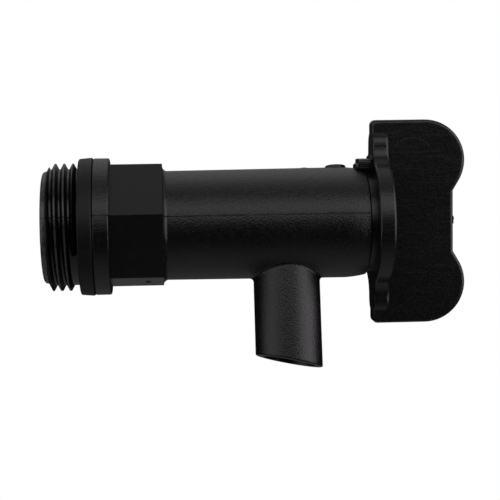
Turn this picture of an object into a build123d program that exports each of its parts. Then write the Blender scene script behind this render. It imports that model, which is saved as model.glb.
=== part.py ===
from build123d import *
from math import ceil, cos, hypot, radians, sin, tan
import os

# Plastic drum tap: a moulded body with a threaded spigot, a sealing washer, and a hollow
# quarter-turn plug that is one moulding with its butterfly handle and carries two O-rings.
# +X runs along the tap axis from the drum to the handle, +Z is up, the spout points down.
# The origin is on the axis, in the plane where the sealing washer meets the drum.
# All sizes are millimetres and degrees.

# Threaded spigot: G 3/4 parallel pipe thread, 14 turns to the inch
spigot_length = 7.5
thread_major = 26.441
thread_pitch = 1.814
thread_depth = 1.162
thread_form_angle = 55
thread_last_crest = 1.27
thread_extra_turn = 0.35
thread_root_sink = 0.15
lead_in_land = 0.9
lead_in_length = 0.8
lead_in_extra = 0.42
spigot_end_rounding = 0.7
run_out_length = 0.9
run_out_land = 0.15
inlet_bore = 16.4

# Plug chamber inside the barrel
plug_bore = 18.0
chamber_margin = 8.0
seat_bore = 14.0
seat_floor = 1.0
mouth_lead_in = 0.4

# Barrel, its mouth and the marks on its top
barrel_wall = 2.6
barrel_taper = 0.225
barrel_length = 42.1
barrel_root_blend = 1.1
barrel_root_sink = 0.05
mouth_crown_drop = 0.55
mouth_crown_length = 5.2
index_boss_diameter = 4.36
index_boss_height = 0.5
index_boss_setback = 5.5
index_boss_rounding = 0.2
dome_mark_diameter = 2.2
dome_mark_height = 0.24
dome_mark_setback = 12.2

# Hexagon and flange
hexagon_land = 0.175
hexagon_length = 10.85
hexagon_edge_rounding = 0.25
hexagon_end_rounding = 0.25
gate_nub_diameter = 1.1
gate_nub_height = 0.2
gate_nub_setback = 3.25
flange_rim = 0.98
flange_thickness = 3.4
flange_rounding = 0.4

# Sealing washer
washer_overhang = 0.175
washer_thickness = 2.94
washer_flare = 0.25
washer_clearance = 0.1
washer_rounding = 0.35

# Spout
spout_setback = 16.6
spout_bore = 10.5
spout_wall = 1.675
spout_length = 28.95
spout_cut_angle = 12
spout_root_fillet = 0.8
spout_lip_rounding = 0.3

# Plug
plug_clearance = 0.05
plug_end_gap = 0.5
plug_wall = 2.95
plug_end_wall = 3.0
snap_bead_setback = 3.6
snap_bead_height = 0.4
snap_bead_width = 1.6
snap_groove_clearance = 0.15

# Quarter-turn stop: a tongue on the plug that turns in a recess beside the seat
quarter_turn = 90
stop_tongue_angle = 40
stop_tongue_length = 3.5
stop_spare_angle = 2
stop_radial_gap = 0.2

# O-rings in grooves on the plug
o_ring_section = 1.45
o_ring_seat_gap = 0.02
o_ring_bore_gap = 0.08
o_ring_groove_spare = 0.45
o_ring_margin = 3.2

# Handle: collar, winged flange, butterfly plate and pointer lug
handle_gap = 0.35
collar_step = 1.5
collar_length = 1.25
handle_flange_overhang = 1.7
handle_flange_thickness = 3.45
handle_flange_rounding = 0.75
handle_flange_back_rounding = 0.55
wing_width = 6.6
wing_reach = 6.1
wing_blend_share = 0.95
plate_thickness = 4.0
plate_height = 42.7
plate_length = 19.7
plate_rounding = 0.7
plate_corner_radius = 1.1
lobe_radius = 8.5
lobe_wrap = 31
waist_inset = 2.45
lug_angle = 26
lug_overhang = 1.76
lug_clearance = 0.25
lug_thickness = 2.05
lug_foot_thickness = 1.1
lug_foot_reach = 0.57
lug_root_step = 0.6
lug_root_gap = 0.12
lug_step_gap = 1.2
lug_tip_rounding = 0.3
lug_tip_rounding_share = 0.96
lug_side_rounding = 0.6

# How far a cut or a joined blank runs past the face where it meets the rest,
# and how near a corner or a face lies to the place that it is picked by
overrun = 1.0
pick_tolerance = 0.01

# The angle at which the lug and the stop tongue stand while the tap is shut, from +Y up to +Z.
# The handle is built at that angle, then set down turned a little way towards open.
shut_angle = 90
rest_turn = 13

# Radii that follow from the sizes above
thread_root_radius = thread_major / 2 - thread_depth
barrel_radius = plug_bore / 2 + barrel_wall
barrel_root_radius = barrel_radius - barrel_taper
mouth_radius = barrel_radius - mouth_crown_drop
hexagon_flat_radius = barrel_root_radius + hexagon_land + hexagon_end_rounding
hexagon_corner_radius = hexagon_flat_radius / cos(radians(30))
flange_radius = thread_major / 2 + flange_rim
washer_radius = flange_radius + washer_overhang
spout_radius = spout_bore / 2 + spout_wall
plug_radius = plug_bore / 2 - plug_clearance
snap_bead_radius = plug_radius + snap_bead_height
collar_radius = plug_radius + collar_step
o_ring_radius = plug_bore / 2 - o_ring_bore_gap - o_ring_section / 2
o_ring_groove_radius = o_ring_radius - o_ring_section / 2 - o_ring_seat_gap
o_ring_groove_width = o_ring_section + o_ring_groove_spare
handle_flange_radius = barrel_radius + handle_flange_overhang
lug_inner_radius = mouth_radius + lug_clearance
lug_outer_radius = lug_inner_radius + lug_thickness
lug_foot_radius = lug_inner_radius + lug_foot_thickness

# Places along the axis that follow from the sizes above
flange_start = washer_thickness
hexagon_start = flange_start + flange_thickness
barrel_start = hexagon_start + hexagon_length
mouth = barrel_start + barrel_length
spout_place = mouth - spout_setback
chamber_end = spout_place - spout_bore / 2 - chamber_margin
seat_end = chamber_end - plug_end_gap - stop_tongue_length - seat_floor
plug_end = chamber_end + plug_end_gap
snap_bead = mouth - snap_bead_setback
collar_start = mouth + handle_gap
handle_back = collar_start + collar_length
handle_front = handle_back + handle_flange_thickness

# The two O-rings straddle the outlet port, between it and the plug's ends
inner_o_ring_place = plug_end + o_ring_margin
stem_o_ring_place = spout_place + spout_bore / 2 + o_ring_margin
o_ring_places = {"inner_o_ring": inner_o_ring_place, "stem_o_ring": stem_o_ring_place}


def cross_plane(x):
    """Plane square to the tap axis at x, with its own x axis along +Y and y axis up."""
    return Plane(origin=(x, 0, 0), x_dir=(0, 1, 0), z_dir=(1, 0, 0))


def ring_sector(inner, outer, start, sweep_angle):
    """Face of a ring sector, angles turning from +Y up to +Z."""
    with BuildSketch() as sector:
        with BuildLine():
            outer_arc = CenterArc((0, 0), outer, start, sweep_angle)
            inner_arc = CenterArc((0, 0), inner, start, sweep_angle)
            Line(outer_arc @ 0, inner_arc @ 0)
            Line(outer_arc @ 1, inner_arc @ 1)
        make_face()
    return sector.sketch


# Thread ridge: a right-hand helix that starts on the top of the spigot beyond its end
flank = tan(radians(thread_form_angle / 2))
crest_width = (thread_pitch - 2 * thread_depth * flank) / 2
ridge_base = thread_root_radius - thread_root_sink
ridge_base_width = crest_width + 2 * (thread_depth + thread_root_sink) * flank
turns_to_end = ceil((spigot_length - thread_last_crest) / thread_pitch)
ridge_start = -thread_last_crest - turns_to_end * thread_pitch
ridge_length = (turns_to_end + thread_extra_turn) * thread_pitch

with BuildPart() as thread_ridge:
    with BuildLine():
        ridge_path = Helix(thread_pitch, ridge_length, ridge_base, (ridge_start, 0, 0), (1, 0, 0))
    with BuildSketch(Plane.XZ) as ridge_section:
        Polygon(
            (ridge_start - ridge_base_width / 2, ridge_base),
            (ridge_start - crest_width / 2, thread_major / 2),
            (ridge_start + crest_width / 2, thread_major / 2),
            (ridge_start + ridge_base_width / 2, ridge_base),
            align=None,
        )
    sweep(sections=ridge_section.sketch, path=ridge_path, is_frenet=True)

# The ridge fades in over the lead-in cone, which follows a plain land, and fades out before
# the washer. Both cones run on past the crest, so that they cut it clean.
lead_in_depth = thread_depth + lead_in_extra
lead_in_start = -spigot_length + lead_in_land
land_radius = thread_major / 2 - lead_in_depth
trim_radius = thread_major / 2 + thread_depth / 2
lead_in_reach = lead_in_length * (trim_radius - land_radius) / lead_in_depth
run_out_reach = run_out_length * (trim_radius - thread_root_radius) / thread_depth

with BuildPart() as spigot_thread:
    with BuildSketch(Plane.XZ):
        Polygon(
            (lead_in_start, 0),
            (lead_in_start, land_radius),
            (lead_in_start + lead_in_reach, trim_radius),
            (-run_out_land - run_out_reach, trim_radius),
            (-run_out_land, thread_root_radius),
            (-run_out_land, 0),
            align=None,
        )
    revolve(axis=Axis.X)
    add(thread_ridge.part, mode=Mode.INTERSECT)

# Spout: a round blank that ends in a slanted cut, longer on the handle side
cut_tilt = radians(spout_cut_angle)
spout_blank_length = spout_length + spout_radius * tan(cut_tilt) + overrun
spout_plane = Plane(origin=(spout_place, 0, 0), x_dir=(1, 0, 0), z_dir=(0, 0, -1))
spout_cut = Plane(origin=(spout_place, 0, -spout_length), z_dir=(sin(cut_tilt), 0, cos(cut_tilt)))

with BuildPart() as spout_blank:
    with BuildSketch(spout_plane):
        Circle(spout_radius)
    extrude(amount=spout_blank_length)
    split(bisect_by=spout_cut, keep=Keep.TOP)
    fillet(spout_blank.faces().sort_by(Axis.Z)[0].edges(), spout_lip_rounding)

# Blend between the barrel and the hexagon's end, which stops short of the flats
blend_centre = (barrel_start + barrel_root_blend, barrel_root_radius + barrel_root_blend - barrel_root_sink)
with BuildPart() as root_blend:
    with BuildSketch(Plane.XZ):
        with BuildLine():
            blend_arc = CenterArc(blend_centre, barrel_root_blend, 180, 90)
            Polyline(blend_arc @ 1, (blend_centre[0], 0), (barrel_start - overrun, 0),
                     (barrel_start - overrun, blend_centre[1]), blend_arc @ 0)
        make_face()
    revolve(axis=Axis.X)
    with BuildSketch(cross_plane(barrel_start - overrun)):
        RegularPolygon(hexagon_flat_radius - hexagon_end_rounding, 6, major_radius=False)
    extrude(amount=overrun + barrel_root_blend, mode=Mode.INTERSECT)

# Tap body
crown_start = mouth - mouth_crown_length
lead_in_core = lead_in_start + lead_in_length * lead_in_extra / lead_in_depth
index_boss_place = mouth - index_boss_setback
dome_mark_place = mouth - dome_mark_setback
gate_nub_place = barrel_start - gate_nub_setback
dome_radius = (dome_mark_diameter**2 / 4 + dome_mark_height**2) / (2 * dome_mark_height)
stop_recess_angle = quarter_turn + stop_tongue_angle + 2 * stop_spare_angle
stop_recess_start = shut_angle - stop_tongue_angle / 2 - stop_spare_angle
snap_groove_half = snap_bead_width / 2 + snap_groove_clearance
snap_groove_radius = snap_bead_radius + snap_groove_clearance

with BuildPart() as tap_body:
    # Spigot core and neck
    with BuildSketch(Plane.XZ) as spigot_profile:
        Polygon(
            (-spigot_length, 0),
            (-spigot_length, land_radius),
            (lead_in_start, land_radius),
            (lead_in_core, thread_root_radius),
            (hexagon_start, thread_root_radius),
            (hexagon_start, 0),
            align=None,
        )
        fillet(spigot_profile.vertices().group_by(Axis.X)[0].sort_by(Axis.Y)[-1], spigot_end_rounding)
    revolve(axis=Axis.X)
    # Flange
    with BuildSketch(Plane.XZ) as flange_profile:
        Polygon(
            (flange_start, 0),
            (flange_start, flange_radius),
            (hexagon_start, flange_radius),
            (hexagon_start, 0),
            align=None,
        )
        fillet(flange_profile.vertices().group_by(Axis.Y)[-1], flange_rounding)
    revolve(axis=Axis.X)
    # Hexagon with two corners on the parting plane
    with BuildSketch(cross_plane(hexagon_start)) as hexagon_outline:
        RegularPolygon(hexagon_corner_radius, 6)
        fillet(hexagon_outline.vertices(), hexagon_edge_rounding)
    extrude(amount=hexagon_length)
    fillet(tap_body.faces().sort_by(Axis.X)[-1].edges(), hexagon_end_rounding)
    # Barrel, a little wider towards the handle, then drawn in to the mouth
    with BuildSketch(Plane.XZ):
        with BuildLine():
            barrel_side = Line((barrel_start, barrel_root_radius), (crown_start, barrel_radius))
            crown = TangentArc(barrel_side @ 1, (mouth, mouth_radius), tangent=barrel_side % 1)
            Polyline(crown @ 1, (mouth, 0), (barrel_start - overrun, 0),
                     (barrel_start - overrun, barrel_root_radius), barrel_side @ 0)
        make_face()
    revolve(axis=Axis.X)
    add(root_blend.part)
    # Spout, blended into the barrel
    add(spout_blank.part)
    spout_root = tap_body.edges(Select.NEW).filter_by_position(Axis.Z, -barrel_radius - overrun, 0)
    fillet(spout_root, spout_root_fillet)
    # Index boss, dome mark and gate nub
    with BuildSketch(Plane.XY.offset(barrel_radius - index_boss_height)):
        with Locations((index_boss_place, 0)):
            Circle(index_boss_diameter / 2)
    extrude(amount=2 * index_boss_height)
    index_boss_faces = tap_body.faces().filter_by_position(
        Axis.X, index_boss_place - pick_tolerance, index_boss_place + pick_tolerance)
    fillet(index_boss_faces.sort_by(Axis.Z)[-1].edges(), index_boss_rounding)
    with Locations((dome_mark_place, 0, barrel_radius + dome_mark_height - dome_radius)):
        Sphere(dome_radius)
    with BuildSketch(Plane.XY.offset(-hexagon_flat_radius - gate_nub_height)):
        with Locations((gate_nub_place, 0)):
            Circle(gate_nub_diameter / 2)
    extrude(amount=2 * gate_nub_height)
    # Thread
    add(spigot_thread.part)
    # Waterway: inlet, seat and plug chamber with its snap groove
    with BuildSketch(Plane.XZ):
        Polygon(
            (-spigot_length - overrun, 0),
            (-spigot_length - overrun, inlet_bore / 2),
            (seat_end, inlet_bore / 2),
            (seat_end, seat_bore / 2),
            (chamber_end, seat_bore / 2),
            (chamber_end, plug_bore / 2),
            (mouth - mouth_lead_in, plug_bore / 2),
            (mouth, plug_bore / 2 + mouth_lead_in),
            (mouth + overrun, plug_bore / 2 + mouth_lead_in),
            (mouth + overrun, 0),
            align=None,
        )
    revolve(axis=Axis.X, mode=Mode.SUBTRACT)
    with BuildSketch(Plane.XZ):
        Polygon(
            (snap_bead - snap_groove_half - snap_bead_height, plug_radius),
            (snap_bead - snap_groove_half, snap_groove_radius),
            (snap_bead + snap_groove_half, snap_groove_radius),
            (snap_bead + snap_groove_half + snap_bead_height, plug_radius),
            align=None,
        )
    revolve(axis=Axis.X, mode=Mode.SUBTRACT)
    # Stop recess beside the seat
    with BuildSketch(cross_plane(chamber_end)):
        add(ring_sector(seat_bore / 2 - overrun, plug_bore / 2, stop_recess_start, stop_recess_angle))
    extrude(amount=-stop_tongue_length - plug_end_gap, mode=Mode.SUBTRACT)
    # Spout bore
    with BuildSketch(spout_plane):
        Circle(spout_bore / 2)
    extrude(amount=spout_blank_length, mode=Mode.SUBTRACT)

# Sealing washer, flared a little where the flange squeezes it
washer_inner_radius = thread_root_radius + washer_clearance
with BuildPart() as sealing_washer:
    with BuildSketch(Plane.XZ) as washer_profile:
        Polygon(
            (0, washer_inner_radius),
            (0, washer_radius - washer_flare),
            (washer_thickness, washer_radius),
            (washer_thickness, washer_inner_radius),
            align=None,
        )
        fillet(washer_profile.vertices().group_by(Axis.Y)[1:], washer_rounding)
    revolve(axis=Axis.X)

# Butterfly plate: each lobe's edge runs on, straight, to the waist between the lobes
plate_front = handle_back + plate_length
waist = plate_front - waist_inset
lobe_x = plate_front - lobe_radius
lobe_z = plate_height / 2 - lobe_radius
wrap = radians(lobe_wrap)
shoulder_run = (lobe_x + lobe_radius * cos(wrap) - waist) / tan(wrap)
waist_corner = lobe_z - lobe_radius * sin(wrap) - shoulder_run

with BuildPart() as plate_blank:
    with BuildSketch(Plane.XZ) as plate_outline:
        with BuildLine():
            upper_lobe = CenterArc((lobe_x, lobe_z), lobe_radius, 90, -90 - lobe_wrap)
            Polyline(upper_lobe @ 1, (waist, waist_corner), (waist, 0), (handle_back, 0),
                     (handle_back, plate_height / 2), upper_lobe @ 0)
        make_face()
        mirror(about=Plane.XZ)
        back_corners = plate_outline.vertices().group_by(Axis.X)[0]
        fillet(back_corners.group_by(Axis.Y)[0] + back_corners.group_by(Axis.Y)[-1], plate_corner_radius)
    extrude(amount=plate_thickness / 2, both=True)
    plate_faces = plate_blank.faces().sort_by(Axis.Y)
    fillet(plate_faces[0].edges() + plate_faces[-1].edges(), plate_rounding)

# Winged flange behind the plate. The wings run into its rim by nearly the largest arc
# that leaves some of their straight sides.
wing_end_radius = wing_width / 2
wing_end = handle_flange_radius + wing_reach - wing_end_radius
widest_blend = ((wing_end**2 + wing_end_radius**2 - handle_flange_radius**2)
                / (2 * (handle_flange_radius - wing_end_radius)))
with BuildPart() as flange_blank:
    with BuildSketch(cross_plane(handle_back)) as wing_outline:
        Circle(handle_flange_radius)
        SlotOverall(2 * (handle_flange_radius + wing_reach), wing_width, rotation=90)
        wing_roots = wing_outline.vertices().filter_by(
            lambda corner: abs(hypot(corner.X, corner.Y) - handle_flange_radius) < pick_tolerance
            and abs(corner.X) < wing_width)
        fillet(wing_roots, wing_blend_share * widest_blend)
    extrude(amount=handle_flange_thickness)
    flange_faces = flange_blank.faces().sort_by(Axis.X)
    fillet(flange_faces[-1].edges(), handle_flange_rounding)
    fillet(flange_faces[0].edges(), handle_flange_back_rounding)

# Pointer lug that overhangs the barrel mouth, on the top while the tap is shut
lug_start = shut_angle - lug_angle / 2
lug_tip = mouth - lug_overhang
lug_root = handle_back + handle_flange_back_rounding
lug_tip_rise = lug_overhang * mouth_crown_drop / mouth_crown_length
lug_foot_side = lug_foot_thickness - lug_side_rounding - lug_tip_rise


def lug_block(start, inner, outer):
    """Stretch of the lug from x = start to its root, with its two outer corners rounded."""
    with BuildSketch() as section:
        add(ring_sector(inner, outer, lug_start, lug_angle))
        corners = section.vertices().sort_by(lambda corner: hypot(corner.X, corner.Y))
        fillet(corners[-2:], lug_side_rounding)
    with BuildPart() as block:
        with BuildSketch(cross_plane(start)):
            add(section.sketch)
        extrude(amount=lug_root - start)
    return block.part


with BuildPart() as lug_blank:
    # A thin foot reaches furthest over the barrel
    add(lug_block(lug_tip, lug_inner_radius, lug_foot_radius))
    add(lug_block(lug_tip + lug_foot_reach, lug_inner_radius, lug_outer_radius))
    # The underside slopes as the barrel does towards the mouth
    with BuildSketch(Plane.XZ):
        Polygon(
            (crown_start, 0),
            (crown_start, barrel_radius + lug_clearance),
            (mouth, lug_inner_radius),
            (mouth, 0),
            align=None,
        )
    revolve(axis=Axis.X, mode=Mode.SUBTRACT)
    # The rounding at the tip fits on the flat side of the foot
    lug_tip_face = lug_blank.faces().sort_by(Axis.X)[0]
    fillet(lug_tip_face.edges(), min(lug_tip_rounding, lug_tip_rounding_share * lug_foot_side))
    # The root reaches in to the collar, and steps up beside the flange
    add(lug_block(mouth + lug_root_gap, collar_radius - overrun, lug_outer_radius))
    add(lug_block(mouth + lug_step_gap, lug_inner_radius, lug_outer_radius + lug_root_step))

# Plug and handle, one moulding
bead_half = snap_bead_width / 2
stop_tongue_tip = plug_end - stop_tongue_length
stop_tongue_radius = seat_bore / 2 + stop_radial_gap
stop_tongue_end_angle = shut_angle + stop_tongue_angle / 2
with BuildPart() as plug_handle:
    with BuildSketch(Plane.XZ):
        Polygon(
            (plug_end, 0),
            (plug_end, stop_tongue_radius),
            (stop_tongue_tip, stop_tongue_radius),
            (stop_tongue_tip, plug_radius),
            (snap_bead - bead_half, plug_radius),
            (snap_bead - bead_half + snap_bead_height, snap_bead_radius),
            (snap_bead + bead_half - snap_bead_height, snap_bead_radius),
            (snap_bead + bead_half, plug_radius),
            (collar_start, plug_radius),
            (collar_start, collar_radius),
            (handle_front, collar_radius),
            (handle_front, 0),
            align=None,
        )
    revolve(axis=Axis.X)
    add(flange_blank.part)
    add(plate_blank.part)
    add(lug_blank.part)
    # The ring on the inner end is cut away, apart from the stop tongue
    with BuildSketch(cross_plane(stop_tongue_tip - overrun)):
        add(ring_sector(stop_tongue_radius - overrun, plug_radius + overrun,
                        stop_tongue_end_angle, 360 - stop_tongue_angle))
    extrude(amount=stop_tongue_length + overrun, mode=Mode.SUBTRACT)
    # Hollow, O-ring grooves and the outlet port, which faces -Y while the tap is shut
    with BuildSketch(cross_plane(plug_end)):
        Circle(plug_radius - plug_wall)
    extrude(amount=handle_front - plug_end_wall - plug_end, mode=Mode.SUBTRACT)
    for place in o_ring_places.values():
        with BuildSketch(Plane.XZ):
            Polygon(
                (place - o_ring_groove_width / 2, o_ring_groove_radius),
                (place - o_ring_groove_width / 2, plug_radius + overrun),
                (place + o_ring_groove_width / 2, plug_radius + overrun),
                (place + o_ring_groove_width / 2, o_ring_groove_radius),
                align=None,
            )
        revolve(axis=Axis.X, mode=Mode.SUBTRACT)
    with BuildSketch(Plane(origin=(spout_place, 0, 0), z_dir=(0, -1, 0))):
        Circle(spout_bore / 2)
    extrude(amount=plug_bore, mode=Mode.SUBTRACT)


def o_ring(place):
    """O-ring seated in the plug's groove at x = place."""
    with BuildPart() as ring:
        with BuildSketch(Plane.XZ):
            with Locations((place, o_ring_radius)):
                Circle(o_ring_section / 2)
        revolve(axis=Axis.X)
    return ring.part


pieces = {
    "tap_body": tap_body.part,
    "sealing_washer": sealing_washer.part,
    "plug_handle": plug_handle.part.rotate(Axis.X, rest_turn),
}
for name, place in o_ring_places.items():
    pieces[name] = o_ring(place)

os.makedirs("parts", exist_ok=True)
for name, piece in pieces.items():
    piece.label = name
    export_step(piece, f"parts/{name}.step")
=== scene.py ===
import math
import random

import bmesh
import bpy
from bpy.props import FloatProperty, FloatVectorProperty, IntProperty, PointerProperty
from mathutils import Matrix, Vector


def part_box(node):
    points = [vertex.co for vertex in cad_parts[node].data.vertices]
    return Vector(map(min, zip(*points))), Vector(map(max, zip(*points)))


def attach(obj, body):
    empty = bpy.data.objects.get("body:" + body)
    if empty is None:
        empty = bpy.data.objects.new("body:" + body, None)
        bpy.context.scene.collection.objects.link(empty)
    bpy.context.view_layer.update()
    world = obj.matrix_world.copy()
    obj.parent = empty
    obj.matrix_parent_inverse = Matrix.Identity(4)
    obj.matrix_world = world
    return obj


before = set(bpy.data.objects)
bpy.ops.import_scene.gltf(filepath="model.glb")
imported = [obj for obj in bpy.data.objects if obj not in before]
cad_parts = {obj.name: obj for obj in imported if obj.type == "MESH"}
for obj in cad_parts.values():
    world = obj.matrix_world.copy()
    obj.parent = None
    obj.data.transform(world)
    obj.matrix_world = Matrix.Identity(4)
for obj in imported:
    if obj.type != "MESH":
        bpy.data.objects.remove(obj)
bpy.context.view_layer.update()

bl_info = {
    "name": "Drum tap",
    "version": (1, 0, 0),
    "blender": (4, 5, 0),
    "location": "3D View > Sidebar > Drum tap",
    "description": "Gives the drum tap its moulded plastic, its mould marks and a studio stage",
    "category": "Object",
}

MM = 0.001

# Places that the frame gives, in metres
BODY_LOW, BODY_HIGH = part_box("tap_body")
WASHER_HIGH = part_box("sealing_washer")[1]
HANDLE_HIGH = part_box("plug_handle")[1]
SPIGOT_END = BODY_LOW.x
MOUTH = BODY_HIGH.x
FLANGE_START = WASHER_HIGH.x
FLANGE_RADIUS = BODY_HIGH.y
PLATE_FRONT = HANDLE_HIGH.x

# Sizes of the moulding that the boxes don't show, in metres
FLANGE_THICKNESS = 3.4 * MM
FLANGE_ROUNDING = 0.4 * MM
HEXAGON_LENGTH = 10.85 * MM
BARREL_RADIUS = 11.6 * MM
BARREL_ROOT_RADIUS = 11.375 * MM
MOUTH_RADIUS = 11.05 * MM
CROWN_LENGTH = 5.2 * MM
HANDLE_BACK_GAP = 1.6 * MM
WAIST_INSET = 2.45 * MM
LUG_HALF_ANGLE = math.radians(13)
LUG_INNER_RADIUS = 11.3 * MM
LUG_OVERHANG = 1.76 * MM
LUG_FOOT_REACH = 0.57 * MM
REST_TURN = math.radians(13)
THREAD_RADIUS = 13.22 * MM
LAND_LENGTH = 0.9 * MM
EJECTOR_SETBACK = 8.7 * MM
EJECTOR_HEIGHT = 12.9 * MM
EJECTOR_RADIUS = 4.65 * MM

# Places that follow from these, in metres
HEXAGON_START = FLANGE_START + FLANGE_THICKNESS
BARREL_START = HEXAGON_START + HEXAGON_LENGTH
CROWN_START = MOUTH - CROWN_LENGTH
HANDLE_BACK = MOUTH + HANDLE_BACK_GAP
WAIST = PLATE_FRONT - WAIST_INSET

# Patterns in a metre of each finish's broad noise
BODY_CLOUDS = 95.0
HANDLE_CLOUDS = 70.0
RUBBER_BLOOMS = 260.0

# Shine of the finishes, their roughness from its least to its most, and what is added to or taken
# from that in places
PLASTIC_SHINE = 0.5
SEAM_SHINE = 0.08
RUBBER_SHINE = 0.3
BODY_ROUGHNESS = (0.27, 0.33)
HANDLE_ROUGHNESS = (0.28, 0.36)
RUBBER_ROUGHNESS = (0.62, 0.72)
SEAM_DULLNESS = 0.3
SCRATCH_DULLNESS = 0.08
SMOOTH_POLISH = 0.08
WASHER_POLISH = 0.18
O_RING_POLISH = 0.25

# How much of the grain the smoother stretches of the body lose
HEXAGON_SMOOTHNESS = 0.92
THREAD_SMOOTHNESS = 0.9

# How the torn gate is made: shares of its width, or of twice its height where it goes up or down
GATE_SEED = 7
GATE_SEGMENTS = 20
GATE_TOP_RADIUS = 0.38
GATE_LIP = 0.14
GATE_HOLLOW = 0.12
GATE_TEAR = 0.12

# How far the flash stays from the hexagon, its stretches along the barrel's curve, and where the
# ribs start on the lug's sides
FLASH_SETBACK = 0.2 * MM
CROWN_STEPS = 6
RIB_SETBACK = 0.15 * MM
RIB_FIRST = 0.5 * MM

# The place of each lamp from the target, and its two edges, in metres
LAMPS = {
    "top": ((0, 0, 0.52), (0.8, 0.6)),
    "front": ((0, -0.476, 0.21), (0.8, 0.34)),
    "left": ((-0.5, -0.2, 0.06), (0.62, 0.6)),
    "right": ((0.5, -0.22, 0.06), (0.6, 0.6)),
}

# The direction that each soft glow comes from, and the cosine of the angle at which it ends
GLOWS = {
    "sky_back": ((0, 0.6, 0.8), 0.7),
    "sky_below": ((0, 0.25, -1), 0.45),
    "sky_low": ((0, 1, -0.3), 0.94),
}

# Camera and floor
SENSOR_WIDTH = 36
CLIP_START = 0.01
FLOOR_SEGMENTS = 96
FLOOR_CLOUDS = 6.0
FLOOR_SHADE = 0.97
FLOOR_ROUGHNESS = 0.8


def length_property(name, description, default):
    """A length in metres that the sidebar can change."""
    return FloatProperty(
        name=name, description=description, default=default, subtype="DISTANCE", unit="LENGTH")


def angle_property(name, description, degrees):
    """An angle that the sidebar can change."""
    return FloatProperty(
        name=name, description=description, default=math.radians(degrees), subtype="ANGLE", unit="ROTATION")


def share_property(name, description, default):
    """A share from nought to one that the sidebar can change."""
    return FloatProperty(name=name, description=description, default=default, min=0, max=1, subtype="FACTOR")


def power_property(name, description, default):
    """The watts of a lamp that the sidebar can change."""
    return FloatProperty(name=name, description=description, default=default, min=0, unit="POWER")


def colour_property(name, description, default):
    """A colour that the sidebar can change."""
    return FloatVectorProperty(
        name=name, description=description, default=default, size=3, min=0, max=1, subtype="COLOR")


class TapFinish(bpy.types.PropertyGroup):
    """Colours and grain of the mouldings and the rubber."""

    body_dark: colour_property("Body, dark", "Darker tone of its plastic", (0.0015, 0.0014, 0.0016))
    body_pale: colour_property("Body, pale", "Paler tone of its plastic", (0.0040, 0.0036, 0.0038))
    handle_dark: colour_property("Handle, dark", "Darker tone of its plastic", (0.0014, 0.0014, 0.0015))
    handle_pale: colour_property("Handle, pale", "Paler tone of its plastic", (0.0040, 0.0036, 0.0036))
    rubber_dark: colour_property("Rubber, dark", "Darker tone of the rubber", (0.0018, 0.0018, 0.0020))
    rubber_pale: colour_property("Rubber, pale", "Paler tone of the rubber", (0.0044, 0.0040, 0.0042))
    # Paler tone for the spigot's end land and the thread's crests: partly real scuffing and dust, partly a
    # painted highlight standing in for light from the drum's side
    worn: colour_property("Worn", "Paler tone where the spigot is scuffed", (0.05, 0.048, 0.049))
    scratched: colour_property("Scratched", "Paler tone of the handle's scratches", (0.022, 0.021, 0.021))
    grain_size: length_property("Grain size", "Size of the moulded grain on the barrel", 0.33 * MM)
    grain_depth: length_property("Grain depth", "Depth of the moulded grain on the barrel", 0.09 * MM)
    scratch_spacing: length_property("Scratch spacing", "Space between scratches on the handle", 0.5 * MM)
    scratch_length: length_property("Scratch length", "Length of the scratches on the handle", 9.0 * MM)
    seam_width: length_property("Seam width", "Width of the dull line along the parting seam", 0.4 * MM)


class TapMarks(bpy.types.PropertyGroup):
    """Sizes of the marks that the moulds left."""

    flash_width: length_property("Flash width", "Width of the flash along the parting seam", 0.1 * MM)
    flash_height: length_property("Flash height", "Height of the flash along the parting seam", 0.02 * MM)
    gate_length: length_property("Gate length", "Length of the torn gate on the handle's waist", 2.1 * MM)
    gate_width: length_property("Gate width", "Width of the torn gate on the handle's waist", 1.3 * MM)
    gate_height: length_property("Gate height", "Height of the torn gate on the handle's waist", 0.46 * MM)
    gate_place: length_property("Gate place", "How far the torn gate lies above the tap's axis", 0.15 * MM)
    rib_height: length_property("Rib height", "Height of the fine ribs on the lug's sides", 0.1 * MM)
    rib_spacing: length_property("Rib spacing", "Space from one rib to the next", 0.42 * MM)
    rib_count: IntProperty(
        name="Ribs", description="Fine ribs on each side of the lug", default=3, min=1, subtype="UNSIGNED")


class TapStage(bpy.types.PropertyGroup):
    """Camera, light and floor."""

    target_x: length_property("Target along the axis", "Where the camera looks, from the drum", 35.209 * MM)
    target_z: length_property("Target height", "Where the camera looks, above the axis", -5.520 * MM)
    azimuth: angle_property("Azimuth", "Turn of the camera about the upright", -3.8)
    elevation: angle_property("Elevation", "Camera's angle above the tap, negative below it", -8.0)
    roll: angle_property("Roll", "Turn of the camera about its own line of sight", -1.6515)
    distance: length_property("Distance", "Distance from the camera to the target", 282.089 * MM)
    focal_length: FloatProperty(
        name="Focal length", description="Lens in millimetres", default=97.056, unit="CAMERA")
    floor_drop: length_property("Floor drop", "Height of the tap's axis over the floor", 110 * MM)
    floor_radius: length_property("Floor radius", "Radius of the round floor", 420 * MM)
    floor_colour: colour_property("Floor colour", "Pale floor under the tap", (0.82, 0.82, 0.82))
    lamp_colour: colour_property("Lamp colour", "Tint of the soft lamps", (1.0, 0.95, 1.0))
    top_power: power_property("Top power", "Watts of the soft lamp above", 0.62)
    front_power: power_property("Front power", "Watts of the soft lamp in front", 0.97)
    left_power: power_property("Left power", "Watts of the soft lamp on the drum's side", 1.0)
    right_power: power_property("Right power", "Watts of the soft lamp on the handle's side", 1.9)
    sky_all: share_property("Sky all round", "Light from every side", 0.01)
    sky_back: share_property("Sky behind", "Light from behind and above", 0.36)
    sky_low: share_property("Sky low", "Light from low down behind", 0.1)
    sky_below: share_property("Sky below", "Light sent back from below", 0.22)


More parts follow.
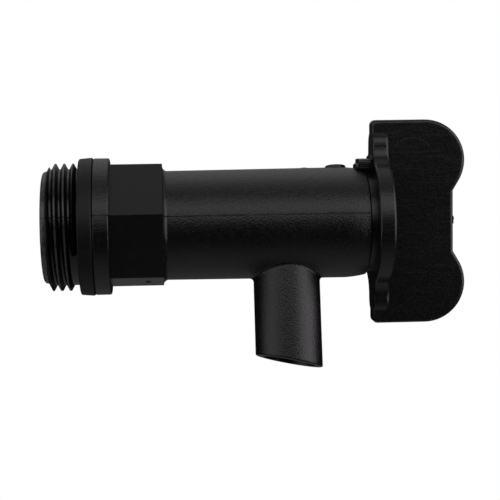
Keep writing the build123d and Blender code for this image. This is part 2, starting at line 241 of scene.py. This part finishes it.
class Finish:
    """A material under construction, with short calls for the nodes that it needs."""

    def __init__(self, name, turn=0.0):
        """Start with object coordinates, turned back by the turn at which the piece stands."""
        self.material = bpy.data.materials.new(name)
        self.material.use_nodes = True
        self.tree = self.material.node_tree
        self.shader = self.tree.nodes["Principled BSDF"]
        straight = self.add("ShaderNodeMapping", vector_type="POINT")
        straight.inputs["Rotation"].default_value = (-turn, 0, 0)
        self.wire(self.add("ShaderNodeTexCoord").outputs["Object"], straight.inputs["Vector"])
        self.place = straight.outputs["Vector"]

    def add(self, kind, **settings):
        """A new node with these settings."""
        made = self.tree.nodes.new(kind)
        for key, value in settings.items():
            setattr(made, key, value)
        return made

    def wire(self, value, socket):
        """Join an output to a socket, or set the socket to a plain value."""
        if isinstance(value, bpy.types.NodeSocket):
            self.tree.links.new(value, socket)
        else:
            socket.default_value = value

    def stretched(self, size):
        """Object coordinates divided by a size along each axis."""
        made = self.add("ShaderNodeMapping", vector_type="POINT")
        self.wire(self.place, made.inputs["Vector"])
        made.inputs["Scale"].default_value = [1 / edge for edge in size]
        return made.outputs["Vector"]

    def noise(self, place, scale, detail, roughness=0.55):
        """Noise of about nought to one."""
        made = self.add("ShaderNodeTexNoise")
        self.wire(place, made.inputs["Vector"])
        made.inputs["Scale"].default_value = scale
        made.inputs["Detail"].default_value = detail
        made.inputs["Roughness"].default_value = roughness
        return made.outputs["Fac"]

    def ramp(self, value, start, end, low=0.0, high=1.0):
        """A value eased from low at start to high at end."""
        made = self.add("ShaderNodeMapRange", interpolation_type="SMOOTHSTEP")
        self.wire(value, made.inputs["Value"])
        for key, number in (("From Min", start), ("From Max", end), ("To Min", low), ("To Max", high)):
            made.inputs[key].default_value = number
        return made.outputs["Result"]

    def sum(self, operation, first, second=0.0):
        """One arithmetic step."""
        made = self.add("ShaderNodeMath", operation=operation)
        self.wire(first, made.inputs[0])
        self.wire(second, made.inputs[1])
        return made.outputs["Value"]

    def axis(self, name):
        """One object coordinate, in metres."""
        made = self.add("ShaderNodeSeparateXYZ")
        self.wire(self.place, made.inputs["Vector"])
        return made.outputs[name]

    def between(self, name, start, end, edge):
        """One inside a stretch of an axis, nought outside, with soft edges."""
        value = self.axis(name)
        inside = self.ramp(value, start - edge, start + edge)
        return self.sum("MULTIPLY", inside, self.ramp(value, end - edge, end + edge, 1.0, 0.0))

    def near_plane(self, name, width):
        """One in the plane where an axis is nought, fading to nought at half the width."""
        return self.ramp(self.sum("ABSOLUTE", self.axis(name)), 0.0, width / 2, 1.0, 0.0)

    def away(self, keep, point):
        """Distance from a point, counted only along the axes that are kept."""
        made = self.add("ShaderNodeVectorMath", operation="MULTIPLY")
        self.wire(self.place, made.inputs[0])
        made.inputs[1].default_value = keep
        gap = self.add("ShaderNodeVectorMath", operation="DISTANCE")
        self.wire(made.outputs["Vector"], gap.inputs[0])
        gap.inputs[1].default_value = point
        return gap.outputs["Value"]

    def ring(self, x, z, radius, width):
        """One on a circle around a line along Y, fading to nought at half the width from it."""
        off = self.sum("ABSOLUTE", self.sum("SUBTRACT", self.away((1, 0, 1), (x, 0, z)), radius))
        return self.ramp(off, 0.0, width / 2, 1.0, 0.0)

    def mix_colour(self, factor, dark, pale):
        """Two tones mixed by a factor."""
        made = self.add("ShaderNodeMix", data_type="RGBA")
        self.wire(factor, made.inputs["Factor"])
        tones = [socket for socket in made.inputs if socket.type == "RGBA"]
        for socket, tone in zip(tones, (dark, pale)):
            self.wire(tone if isinstance(tone, bpy.types.NodeSocket) else (*tone, 1.0), socket)
        return next(socket for socket in made.outputs if socket.type == "RGBA")

    def bump(self, height, depth, normal=None):
        """A bumped normal from a height of nought to one over a real depth."""
        made = self.add("ShaderNodeBump")
        self.wire(height, made.inputs["Height"])
        made.inputs["Strength"].default_value = 1.0
        made.inputs["Distance"].default_value = depth
        if normal:
            self.wire(normal, made.inputs["Normal"])
        return made.outputs["Normal"]

    def dress(self, colour, roughness, normal, shine=PLASTIC_SHINE):
        """Wire the shader and return the finished material."""
        self.wire(shine, self.shader.inputs["Specular IOR Level"])
        self.wire(colour, self.shader.inputs["Base Color"])
        self.wire(roughness, self.shader.inputs["Roughness"])
        self.wire(normal, self.shader.inputs["Normal"])
        return self.material


def body_plastic(finish):
    """Matte moulded plastic: grained on the barrel, spout and flange, smoother on the hexagon and thread."""
    made = Finish("body_plastic")
    grain_scale = 1 / finish.grain_size
    grain = made.noise(made.place, grain_scale, 2.0)
    blotch = made.noise(made.place, grain_scale / 3.1, 3.0, 0.65)
    cloud = made.noise(made.place, BODY_CLOUDS, 3.0)
    hexagon = made.between("X", HEXAGON_START, BARREL_START, 0.15 * MM)
    thread = made.between("X", SPIGOT_END - MM, 0.0, 0.2 * MM)
    hexagon_smooth = made.sum("MULTIPLY", hexagon, HEXAGON_SMOOTHNESS)
    smooth = made.sum("ADD", hexagon_smooth, made.sum("MULTIPLY", thread, THREAD_SMOOTHNESS))
    rough_share = made.sum("SUBTRACT", 1.0, smooth)
    broken = made.ramp(made.noise(made.stretched((4 * MM, MM, MM)), 1.0, 3.0), 0.3, 0.48)
    seam = made.sum("MULTIPLY", made.near_plane("Z", finish.seam_width), broken)

    tone = made.sum("ADD", made.sum("MULTIPLY", cloud, 0.45), made.sum("MULTIPLY", blotch, 0.55))
    tone = made.ramp(tone, 0.3, 0.72)
    colour = made.mix_colour(tone, finish.body_dark, finish.body_pale)
    radius = made.away((0, 1, 1), (0, 0, 0))
    # Paler tone on the thread's crests and on the land at the spigot's end: partly real scuffing and dust,
    # partly a painted highlight for the light from the drum's side that these edges catch
    crest_wear_and_highlight = made.ramp(radius, THREAD_RADIUS - 0.2 * MM, THREAD_RADIUS - 0.05 * MM)
    crest_wear_and_highlight = made.sum("MULTIPLY", made.sum("MULTIPLY", crest_wear_and_highlight, thread), 0.5)
    land_wear_and_highlight = made.ramp(made.axis("X"), SPIGOT_END + LAND_LENGTH, SPIGOT_END + 1.4 * LAND_LENGTH, 1.0, 0.0)
    worn = made.sum("MULTIPLY", made.sum("MAXIMUM", crest_wear_and_highlight, land_wear_and_highlight), made.ramp(blotch, 0.25, 0.6, 0.35, 1.0))
    colour = made.mix_colour(worn, colour, finish.worn)

    shine = made.ramp(seam, 0.0, 0.7, PLASTIC_SHINE, SEAM_SHINE)
    roughness = made.ramp(blotch, 0.3, 0.7, *BODY_ROUGHNESS)
    roughness = made.sum("SUBTRACT", roughness, made.sum("MULTIPLY", smooth, SMOOTH_POLISH))
    roughness = made.sum("ADD", roughness, made.sum("MULTIPLY", seam, SEAM_DULLNESS))
    height = made.sum("MULTIPLY", made.sum("ADD", grain, made.sum("MULTIPLY", blotch, 0.15)), rough_share)
    normal = made.bump(height, finish.grain_depth)
    fine = made.noise(made.place, 2.6 * grain_scale, 2.0)
    return made.dress(colour, roughness, made.bump(fine, finish.grain_depth / 6, normal), shine)


def handle_plastic(finish):
    """Satin moulded plastic with fine lengthwise scratches and a faint ejector ring on the plate."""
    made = Finish("handle_plastic", REST_TURN)
    grain_scale = 1 / finish.grain_size
    mottle = made.noise(made.place, grain_scale / 1.6, 4.0, 0.65)
    cloud = made.noise(made.place, HANDLE_CLOUDS, 3.0)
    across = finish.scratch_spacing
    streak = made.noise(made.stretched((finish.scratch_length, 4 * across, across)), 1.0, 3.0, 0.7)
    scratch = made.sum("MULTIPLY", made.ramp(streak, 0.48, 0.8), 0.55)

    tone = made.sum("ADD", made.sum("MULTIPLY", cloud, 0.5), made.sum("MULTIPLY", mottle, 0.5))
    colour = made.mix_colour(made.ramp(tone, 0.3, 0.72), finish.handle_dark, finish.handle_pale)
    ring = made.ring(WAIST - EJECTOR_SETBACK, EJECTOR_HEIGHT, EJECTOR_RADIUS, finish.seam_width)
    fade_start = EJECTOR_HEIGHT + 0.5 * EJECTOR_RADIUS
    fade_end = EJECTOR_HEIGHT + 0.8 * EJECTOR_RADIUS
    ring = made.sum("MULTIPLY", ring, made.ramp(made.axis("Z"), fade_start, fade_end))
    worn = made.sum("MAXIMUM", scratch, ring)
    colour = made.mix_colour(made.sum("MULTIPLY", worn, 0.35), colour, finish.scratched)
    roughness = made.ramp(mottle, 0.3, 0.72, *HANDLE_ROUGHNESS)
    roughness = made.sum("ADD", roughness, made.sum("MULTIPLY", worn, SCRATCH_DULLNESS))
    height = made.sum("SUBTRACT", mottle, made.sum("MULTIPLY", scratch, 0.6))
    return made.dress(colour, roughness, made.bump(height, finish.grain_depth / 2.6))


def moulded_rubber(name, finish, polish):
    """Dull black rubber with a soft bloom."""
    made = Finish(name)
    bloom = made.noise(made.place, RUBBER_BLOOMS, 4.0, 0.6)
    speck = made.noise(made.place, 1.4 / finish.grain_size, 2.0)
    colour = made.mix_colour(made.ramp(bloom, 0.35, 0.7), finish.rubber_dark, finish.rubber_pale)
    roughness = made.ramp(bloom, 0.3, 0.7, *[edge - polish for edge in RUBBER_ROUGHNESS])
    return made.dress(colour, roughness, made.bump(speck, finish.grain_depth / 3), RUBBER_SHINE)


def paint(node, material):
    """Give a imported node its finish."""
    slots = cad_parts[node].data.materials
    slots.clear()
    slots.append(material)


def finish_piece(name, shape, material, body, smooth=True):
    """Make a piece from a bmesh, and let it ride on a body."""
    bmesh.ops.remove_doubles(shape, verts=shape.verts, dist=1e-7)
    bmesh.ops.recalc_face_normals(shape, faces=shape.faces)
    mesh = bpy.data.meshes.new(name)
    shape.to_mesh(mesh)
    shape.free()
    mesh.materials.append(material)
    if smooth:
        mesh.shade_smooth()
    piece = bpy.data.objects.new(name, mesh)
    bpy.context.scene.collection.objects.link(piece)
    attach(piece, body)
    return piece


def run_bead(shape, route, across, outward, width, height):
    """Extrude a low three-sided bead along a route, half sunk into the surface that it follows."""
    foot = outward * -height
    corners = [foot - across * width / 2, outward * height, foot + across * width / 2]
    face = shape.faces.new([shape.verts.new(route[0] + corner) for corner in corners])
    for here, there in zip(route, route[1:]):
        grown = bmesh.ops.extrude_face_region(shape, geom=[face])["geom"]
        bmesh.ops.translate(
            shape, vec=there - here, verts=[item for item in grown if isinstance(item, bmesh.types.BMVert)])
        # Only the first face stays, as the cap of that end
        if here is not route[0]:
            bmesh.ops.delete(shape, geom=[face], context="FACES_ONLY")
        face = next(item for item in grown if isinstance(item, bmesh.types.BMFace))


def turn_to_rest(shape):
    """Turn a shape that was made for the shut tap as far as the handle is turned at rest."""
    bmesh.ops.rotate(shape, cent=(0, 0, 0), matrix=Matrix.Rotation(REST_TURN, 3, "X"), verts=shape.verts)


def crown_points(steps):
    """Points on the curve that draws the barrel in to its mouth."""
    drop = BARREL_RADIUS - MOUTH_RADIUS
    points = []
    for step in range(steps + 1):
        share = step / steps
        points.append((CROWN_START + CROWN_LENGTH * share, BARREL_RADIUS - drop * share**2))
    return points


class TAP_OT_body(bpy.types.Operator):
    """Give the tap body its grained plastic"""

    bl_idname = "tap.body"
    bl_label = "Finish the body"

    def execute(self, context):
        paint("tap_body", body_plastic(context.scene.tap_finish))
        return {"FINISHED"}


class TAP_OT_washer(bpy.types.Operator):
    """Give the sealing washer its rubber"""

    bl_idname = "tap.washer"
    bl_label = "Finish the washer"

    def execute(self, context):
        paint("sealing_washer", moulded_rubber("washer_rubber", context.scene.tap_finish, WASHER_POLISH))
        return {"FINISHED"}


class TAP_OT_handle(bpy.types.Operator):
    """Give the plug and its handle their satin plastic"""

    bl_idname = "tap.handle"
    bl_label = "Finish the handle"

    def execute(self, context):
        paint("plug_handle", handle_plastic(context.scene.tap_finish))
        return {"FINISHED"}


class TAP_OT_o_rings(bpy.types.Operator):
    """Give the two O-rings their rubber"""

    bl_idname = "tap.o_rings"
    bl_label = "Finish the O-rings"

    def execute(self, context):
        rubber = moulded_rubber("o_ring_rubber", context.scene.tap_finish, O_RING_POLISH)
        for node in ("stem_o_ring", "inner_o_ring"):
            paint(node, rubber)
        return {"FINISHED"}


class TAP_OT_flash(bpy.types.Operator):
    """Add the flash that the moulds left along the parting seam"""

    bl_idname = "tap.flash"
    bl_label = "Add the seam flash"

    def execute(self, context):
        marks = context.scene.tap_marks
        plastic = bpy.data.materials["body_plastic"]
        barrel = [(BARREL_START + FLASH_SETBACK, BARREL_ROOT_RADIUS), *crown_points(CROWN_STEPS)]
        flange_ends = (FLANGE_START + FLANGE_ROUNDING, HEXAGON_START - FLANGE_ROUNDING)
        flange = [(x, FLANGE_RADIUS) for x in flange_ends]
        for side, word in ((-1, "near"), (1, "far")):
            shape = bmesh.new()
            for stretch in (barrel, flange):
                route = [Vector((x, side * radius, 0)) for x, radius in stretch]
                run_bead(shape, route, Vector((0, 0, 1)), Vector((0, side, 0)), marks.flash_width,
                         marks.flash_height)
            finish_piece(f"seam_flash_{word}", shape, plastic, "body")
        return {"FINISHED"}


class TAP_OT_gate(bpy.types.Operator):
    """Add the torn gate on the waist of the handle"""

    bl_idname = "tap.gate"
    bl_label = "Add the torn gate"

    def execute(self, context):
        marks = context.scene.tap_marks
        draw = random.Random(GATE_SEED)
        shape = bmesh.new()
        bmesh.ops.create_cone(shape, cap_ends=True, segments=GATE_SEGMENTS, radius1=0.5,
                              radius2=GATE_TOP_RADIUS, depth=1.0)
        top = max(shape.faces, key=lambda face: face.calc_center_median().z)
        bmesh.ops.inset_region(shape, faces=[top], thickness=GATE_LIP, depth=-GATE_HOLLOW)
        for vert in shape.verts:
            if vert.co.z > 0:
                vert.co.z += draw.uniform(-GATE_TEAR, GATE_TEAR)
        size = Matrix.Diagonal((marks.gate_width, marks.gate_length, 2 * marks.gate_height, 1))
        stand = Matrix(((0, 0, 1, WAIST), (1, 0, 0, 0), (0, 1, 0, marks.gate_place), (0, 0, 0, 1)))
        bmesh.ops.transform(shape, matrix=stand @ size, verts=shape.verts)
        turn_to_rest(shape)
        plastic = bpy.data.materials["handle_plastic"]
        finish_piece("torn_gate", shape, plastic, "handle", smooth=False)
        return {"FINISHED"}


class TAP_OT_ribs(bpy.types.Operator):
    """Add the fine ribs on the sides of the pointer lug"""

    bl_idname = "tap.ribs"
    bl_label = "Add the lug's ribs"

    def execute(self, context):
        marks = context.scene.tap_marks
        shape = bmesh.new()
        for side in (-1, 1):
            radial = Vector((0, side * math.sin(LUG_HALF_ANGLE), math.cos(LUG_HALF_ANGLE)))
            outward = Vector((0, side * math.cos(LUG_HALF_ANGLE), -math.sin(LUG_HALF_ANGLE)))
            for number in range(marks.rib_count):
                radius = LUG_INNER_RADIUS + RIB_FIRST + marks.rib_spacing * number
                ends = (MOUTH - LUG_OVERHANG + LUG_FOOT_REACH + RIB_SETBACK, HANDLE_BACK)
                route = [radial * radius + Vector((x, 0, 0)) for x in ends]
                run_bead(shape, route, radial, outward, 3 * marks.rib_height, marks.rib_height)
        turn_to_rest(shape)
        finish_piece("lug_ribs", shape, bpy.data.materials["handle_plastic"], "handle")
        return {"FINISHED"}


class TAP_OT_stage(bpy.types.Operator):
    """Set up the camera, the soft light, the white background and the pale floor"""

    bl_idname = "tap.stage"
    bl_label = "Set the stage"

    def execute(self, context):
        stage = context.scene.tap_stage
        self.add_camera(context, stage)
        self.add_floor(stage)
        self.add_sky(context, stage)
        target = Vector((stage.target_x, 0, 0))
        for name, (offset, size) in LAMPS.items():
            self.add_lamp(name, target, Vector(offset), size, getattr(stage, f"{name}_power"))
        context.scene.view_settings.view_transform = "Standard"
        return {"FINISHED"}

    def add_camera(self, context, stage):
        """Stand the camera where the photograph was taken from."""
        cos_up = math.cos(stage.elevation)
        back = Vector((
            cos_up * math.sin(stage.azimuth), -cos_up * math.cos(stage.azimuth), math.sin(stage.elevation)))
        level = Vector((0, 0, 1)).cross(back).normalized()
        upright = back.cross(level)
        right = level * math.cos(stage.roll) + upright * math.sin(stage.roll)
        up = upright * math.cos(stage.roll) - level * math.sin(stage.roll)
        camera = bpy.data.objects.new("camera", bpy.data.cameras.new("camera"))
        camera.data.lens = stage.focal_length
        camera.data.sensor_width = SENSOR_WIDTH
        camera.data.clip_start = CLIP_START
        context.scene.collection.objects.link(camera)
        turn = Matrix((right, up, back)).transposed().to_4x4()
        place = Vector((stage.target_x, 0, stage.target_z)) + back * stage.distance
        camera.matrix_world = Matrix.Translation(place) @ turn
        context.scene.camera = camera

    def add_floor(self, stage):
        """A round pale floor, well under the tap."""
        shape = bmesh.new()
        bmesh.ops.create_circle(shape, cap_ends=True, radius=stage.floor_radius, segments=FLOOR_SEGMENTS)
        bmesh.ops.translate(shape, vec=(stage.target_x, 0, -stage.floor_drop), verts=shape.verts)
        mesh = bpy.data.meshes.new("floor")
        shape.to_mesh(mesh)
        shape.free()
        made = Finish("floor_paint")
        cloud = made.noise(made.place, FLOOR_CLOUDS, 2.0)
        shaded = [channel * FLOOR_SHADE for channel in stage.floor_colour]
        colour = made.mix_colour(cloud, shaded, stage.floor_colour)
        made.wire(colour, made.shader.inputs["Base Color"])
        made.shader.inputs["Roughness"].default_value = FLOOR_ROUGHNESS
        mesh.materials.append(made.material)
        floor = bpy.data.objects.new("floor", mesh)
        bpy.context.scene.collection.objects.link(floor)
        # The tap mirrors the lamps and the sky, but not the floor
        floor.visible_glossy = False

    def add_sky(self, context, stage):
        """White behind the tap for the camera, and for the rest a dim light that grows behind and below."""
        world = bpy.data.worlds.new("studio")
        world.use_nodes = True
        tree = world.node_tree
        tree.nodes.clear()
        seen = tree.nodes.new("ShaderNodeBackground")
        seen.inputs["Color"].default_value = (1, 1, 1, 1)
        around = tree.nodes.new("ShaderNodeBackground")
        around.inputs["Color"].default_value = (1, 1, 1, 1)
        total = tree.nodes.new("ShaderNodeValue").outputs["Value"]
        total.default_value = stage.sky_all
        for name, (direction, edge) in GLOWS.items():
            step = tree.nodes.new("ShaderNodeMath")
            step.operation = "ADD"
            tree.links.new(total, step.inputs[0])
            tree.links.new(self.add_glow(tree, direction, edge, getattr(stage, name)), step.inputs[1])
            total = step.outputs["Value"]
        tree.links.new(total, around.inputs["Strength"])
        ray = tree.nodes.new("ShaderNodeLightPath")
        choose = tree.nodes.new("ShaderNodeMixShader")
        out = tree.nodes.new("ShaderNodeOutputWorld")
        tree.links.new(ray.outputs["Is Camera Ray"], choose.inputs["Fac"])
        tree.links.new(around.outputs["Background"], choose.inputs[1])
        tree.links.new(seen.outputs["Background"], choose.inputs[2])
        tree.links.new(choose.outputs["Shader"], out.inputs["Surface"])
        context.scene.world = world

    def add_glow(self, tree, direction, edge, strength):
        """Light from around one direction, which fades out where the cosine falls to the edge."""
        way = tree.nodes.new("ShaderNodeTexCoord")
        along = tree.nodes.new("ShaderNodeVectorMath")
        along.operation = "DOT_PRODUCT"
        along.inputs[1].default_value = Vector(direction).normalized()
        grow = tree.nodes.new("ShaderNodeMapRange")
        grow.interpolation_type = "SMOOTHSTEP"
        grow.inputs["From Min"].default_value = edge
        grow.inputs["To Max"].default_value = strength
        tree.links.new(way.outputs["Generated"], along.inputs[0])
        tree.links.new(along.outputs["Value"], grow.inputs["Value"])
        return grow.outputs["Result"]

    def add_lamp(self, name, target, offset, size, power):
        """A soft oblong lamp that faces the tap."""
        data = bpy.data.lights.new(name, "AREA")
        data.shape = "RECTANGLE"
        data.size, data.size_y = size
        data.energy = power
        data.color = bpy.context.scene.tap_stage.lamp_colour
        lamp = bpy.data.objects.new(name, data)
        bpy.context.scene.collection.objects.link(lamp)
        lamp.location = target + offset
        lamp.visible_camera = False
        lamp.rotation_euler = offset.to_track_quat("Z", "Y").to_euler()


class TAP_PT_sidebar(bpy.types.Panel):
    """The tap's steps and sizes"""

    bl_label = "Drum tap"
    bl_idname = "TAP_PT_sidebar"
    bl_space_type = "VIEW_3D"
    bl_region_type = "UI"
    bl_category = "Drum tap"

    def draw(self, context):
        """List the steps, then the values of each group."""
        for step in STEPS:
            self.layout.operator(step.bl_idname)
        for group in (context.scene.tap_finish, context.scene.tap_marks, context.scene.tap_stage):
            column = self.layout.column(align=True)
            for name in group.__annotations__:
                column.prop(group, name)


STEPS = (TAP_OT_body, TAP_OT_washer, TAP_OT_handle, TAP_OT_o_rings, TAP_OT_flash, TAP_OT_gate, TAP_OT_ribs,
         TAP_OT_stage)
GROUPS = {"tap_finish": TapFinish, "tap_marks": TapMarks, "tap_stage": TapStage}


def register():
    """Add the tap's classes and its values on the scene."""
    for made in (*GROUPS.values(), *STEPS, TAP_PT_sidebar):
        bpy.utils.register_class(made)
    for name, group in GROUPS.items():
        setattr(bpy.types.Scene, name, PointerProperty(type=group))


def unregister():
    """Take the tap's values and classes away again."""
    for name in GROUPS:
        delattr(bpy.types.Scene, name)
    for made in (TAP_PT_sidebar, *reversed(STEPS), *reversed(tuple(GROUPS.values()))):
        bpy.utils.unregister_class(made)


def main():
    """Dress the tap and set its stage."""
    register()
    bpy.ops.tap.body()
    bpy.ops.tap.washer()
    bpy.ops.tap.handle()
    bpy.ops.tap.o_rings()
    bpy.ops.tap.flash()
    bpy.ops.tap.gate()
    bpy.ops.tap.ribs()
    bpy.ops.tap.stage()


if __name__ == "__main__":
    main()
